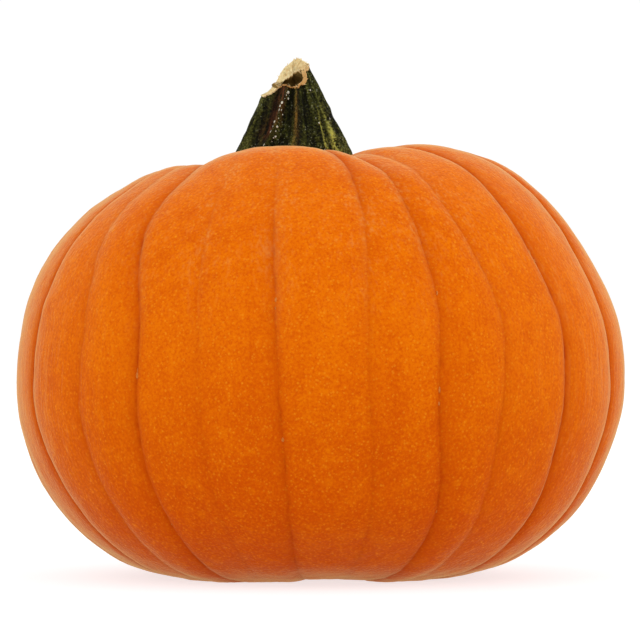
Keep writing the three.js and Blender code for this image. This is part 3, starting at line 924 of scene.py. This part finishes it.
def scatter(name, rows, makeShape, material, values):
    # rows: place, outward direction, direction along, and size along, across and outwards
    piece = newObject(name, [row[0] for row in rows])
    for column, label in enumerate(("outwards", "along", "size"), 1):
        vectors = piece.data.attributes.new(label, "FLOAT_VECTOR", "POINT")
        vectors.data.foreach_set("vector", np.array([row[column] for row in rows], np.float32).ravel())
    grow(piece, scatterTree(name, makeShape), {"Material": material, **values})
    finishPiece(piece)
    return piece


def corkMaterial(name, colours, length):
    material, tree, principled, place = newMaterial(name, **{
        "Roughness": 0.7, "Specular IOR Level": 0.04,
    })
    cloud = useGroup(tree, mottle, {"Vector": place, "Length": length, "Detail": 3.0})
    feed(tree, principled.inputs["Base Color"], mixColour(tree, cloud * 0.6 + 0.5, *colours))
    feed(tree, principled.inputs["Roughness"], cloud * 0.1 + 0.7)
    raiseSurface(tree, principled, cloud, 0.2 * mm, 0.8)
    return material


corkDots = {
    "seed": 4,
    # ridge number, dots on it, lowest and highest share of the way up, and largest size
    "ridges": [(1, 26, 0.3, 0.97, 0.75), (3, 6, 0.25, 0.8, 0.4), (5, 8, 0.2, 0.9, 0.5),
               (7, 14, 0.25, 0.95, 0.6), (9, 8, 0.2, 0.85, 0.5)],
    "smallest": 0.2,
    "spread": 2.4,  # columns of the stem's mesh to either side of the ridge
}


def makeCorkDots():
    draw = random.Random(corkDots["seed"])
    rows, columns = stemShape["rows"], stemPoints.shape[1]
    dots = []
    for ridge, count, lowest, highest, largest in corkDots["ridges"]:
        for number in range(count):
            rise = lowest + (highest - lowest) * (number + draw.uniform(-1.1, 1.1)) / (count - 1)
            row = int(min(max(rise, 0), 0.98) * (rows - 1))
            column = (ridge * stemShape["columnsPerRidge"] + round(draw.gauss(0, corkDots["spread"]))) % columns
            place = stemPoints[row, column]
            upwards = stemPoints[row + 1, column] - place
            sideways = stemPoints[row, (column + 1) % columns] - stemPoints[row, column - 1]
            size = (corkDots["smallest"] + (largest - corkDots["smallest"]) * draw.random() ** 1.6) * mm
            shape = (size * draw.uniform(1, 1.5), size, size * 0.75)
            dots.append((place, np.cross(sideways, upwards), upwards, shape))
    material = corkMaterial("paleCork", [(0.5, 0.47, 0.33), (0.86, 0.85, 0.74)], 0.6 * mm)
    return scatter("stemCorkDots", dots, ballShape, material, {
        "Lumpiness": 0.3 * mm, "Lump Length": 0.5 * mm,
    })


tornFibres = {"seed": 11, "count": 80, "thickness": 0.2, "shortest": 0.6, "longest": 1.9, "lean": 0.6}


def makeTornFibres():
    draw = random.Random(tornFibres["seed"])
    rows, (count, columns) = stemShape["rows"], stemPoints.shape[:2]
    fibres = []
    while len(fibres) < tornFibres["count"]:
        column = draw.randrange(columns)
        row = rows + int(draw.random() ** 1.3 * 0.42 * (count - rows))
        place = stemPoints[row, column]
        inwards = Vector(stemPoints[rows - 1, column - columns // 2] - stemPoints[rows - 1, column])
        lean = Vector([draw.gauss(0, tornFibres["lean"]) for _ in range(3)])
        direction = Vector((0, 0, 1)) + inwards.normalized() * draw.uniform(-0.8, 0.6) + lean
        length = draw.uniform(tornFibres["shortest"], tornFibres["longest"])
        thickness = tornFibres["thickness"] * mm * draw.uniform(0.6, 1.3)
        fibres.append((place, direction, lean, (thickness, thickness, length * mm)))
    material = corkMaterial("tornFibre", [(0.75, 0.54, 0.22), (1.0, 0.86, 0.55)], 1.5 * mm)
    return scatter("stemTornFibres", fibres, fibreShape, material, {
        "Lumpiness": 0.05 * mm, "Lump Length": 0.5 * mm,
    })


rindScars = {
    "seed": 8,
    # seen from the front: distance from the middle, height, length and width, all in millimetres
    "front": [(-92, 101, 1.8, 0.9), (-20, 136.5, 1.2, 0.7), (-15, 71, 1.1, 0.8), (58, 94, 1.6, 0.6),
              (58, 88, 1.0, 0.5), (82, 149, 1.4, 0.6), (82, 144, 1.0, 0.5)],
    "others": 34,
    "nearCrease": 0.5,
    "deepCrease": 1.8,
    "heights": (25, 195),
}


def makeRindScars():
    # corky lumps in the deeper creases
    draw = random.Random(rindScars["seed"])
    mesh = fruit.data
    count = len(mesh.vertices)
    places, normals = np.empty(count * 3, np.float32), np.empty(count * 3, np.float32)
    away, depth = np.empty(count, np.float32), np.empty(count, np.float32)
    mesh.vertices.foreach_get("co", places)
    mesh.vertex_normals.foreach_get("vector", normals)
    mesh.attributes["creaseAway"].data.foreach_get("value", away)
    mesh.attributes["creaseDepth"].data.foreach_get("value", depth)
    places, normals = places.reshape(-1, 3), normals.reshape(-1, 3)
    low, high = rindScars["heights"]
    inCrease = (away < rindScars["nearCrease"]) & (depth > rindScars["deepCrease"])
    inCrease &= (places[:, 2] > low * mm) & (places[:, 2] < high * mm)
    candidates = np.flatnonzero(inCrease)
    chosen = []
    for x, z, length, width in rindScars["front"]:
        aside = np.hypot(places[candidates, 0] - x * mm, places[candidates, 2] - z * mm)
        aside += (places[candidates, 1] > 0) * 1.0
        chosen.append((candidates[np.argmin(aside)], length, width))
    for _ in range(rindScars["others"]):
        spot = candidates[draw.randrange(len(candidates))]
        chosen.append((spot, draw.uniform(0.4, 1.5), draw.uniform(0.25, 0.5)))
    scars = []
    for spot, length, width in chosen:
        outwards = Vector(normals[spot])
        sideways = outwards.cross(Vector((0, 0, 1)))
        shape = (length * mm, width * mm, 0.35 * mm)
        scars.append((places[spot], outwards, sideways.cross(outwards), shape))
    material = corkMaterial("scarCork", [(0.52, 0.12, 0.012), (0.7, 0.23, 0.05)], 1.1 * mm)
    return scatter("fruitScars", scars, ballShape, material, {
        "Lumpiness": 0.5 * mm, "Lump Length": 0.7 * mm,
    })


makeCorkDots()
makeTornFibres()
makeRindScars()
print("dots, fibres and scars done")


# camera, light and floor

view = {
    "distance": 2.0,
    "height": 126.6 * mm,
    "fieldWidth": 317.24 * mm,  # width of the picture at the fruit's middle
}


def makeCamera():
    camera = bpy.data.cameras.new("camera")
    camera.sensor_width = 36
    camera.lens = 36 * view["distance"] / view["fieldWidth"]
    holder = bpy.data.objects.new("camera", camera)
    holder.location = (0, -view["distance"], view["height"])
    holder.rotation_euler = (math.pi / 2, 0, 0)
    bpy.context.scene.collection.objects.link(holder)
    bpy.context.scene.camera = holder


def makeFloor():
    half = 6
    floor = newObject("floor", [(-half, -half, 0), (half, -half, 0), (half, half, 0), (-half, half, 0)],
                      faces=[(0, 1, 2, 3)])
    # a white table lit from below, as in a shop picture: it looks brighter than the glow it gives
    material, tree, principled, _ = newMaterial("paleFloor", **{
        "Base Color": (0.42, 0.42, 0.42, 1), "Roughness": 0.8, "Specular IOR Level": 0.1,
        "Emission Strength": 1.0,
    })
    seen = Wire(put(tree, "ShaderNodeLightPath").outputs["Is Camera Ray"])
    feed(tree, principled.inputs["Emission Color"], mixColour(tree, seen, (0.38, 0.37, 0.34), (0.72, 0.72, 0.72)))
    floor.data.materials.append(material)


def addSoftbox(name, place, size, power, target=(0, 0, 0.1)):
    light = bpy.data.lights.new(name, "AREA")
    light.shape = "RECTANGLE"
    light.size, light.size_y = size
    light.energy = power
    holder = bpy.data.objects.new(name, light)
    holder.location = place
    holder.rotation_euler = (Vector(target) - Vector(place)).to_track_quat("-Z", "Y").to_euler()
    bpy.context.scene.collection.objects.link(holder)


def makeWorld():
    world = bpy.data.worlds.new("studio")
    bpy.context.scene.world = world
    world.use_nodes = True
    tree = world.node_tree
    tree.nodes.clear()
    # bright in front of the fruit and dimmer behind it, while the camera sees plain white
    _, towardsBack, up = splitXyz(tree, put(tree, "ShaderNodeTexCoord").outputs["Generated"])
    strength = 0.88 - fade(towardsBack, -0.4, 0.4) * 0.08 + fade(up, 0.1, 0.7) * 0.1
    seen = Wire(put(tree, "ShaderNodeLightPath").outputs["Is Camera Ray"])
    strength = calc("MAXIMUM", strength, seen * 1.02)
    background = put(tree, "ShaderNodeBackground", {"Color": (1, 1, 1, 1), "Strength": strength})
    output = put(tree, "ShaderNodeOutputWorld")
    tree.links.new(background.outputs[0], output.inputs["Surface"])


makeCamera()
makeFloor()
makeWorld()
addSoftbox("overheadSoftbox", (0, -0.3, 2.0), (2.2, 2.2), 3.4)
addSoftbox("leftSoftbox", (-1.5, -1.9, 0.9), (2.4, 1.8), 6.8)
addSoftbox("rightSoftbox", (2.4, -0.3, 0.6), (2.4, 1.8), 12)
bpy.context.scene.view_settings.view_transform = "Standard"
print("stage done")
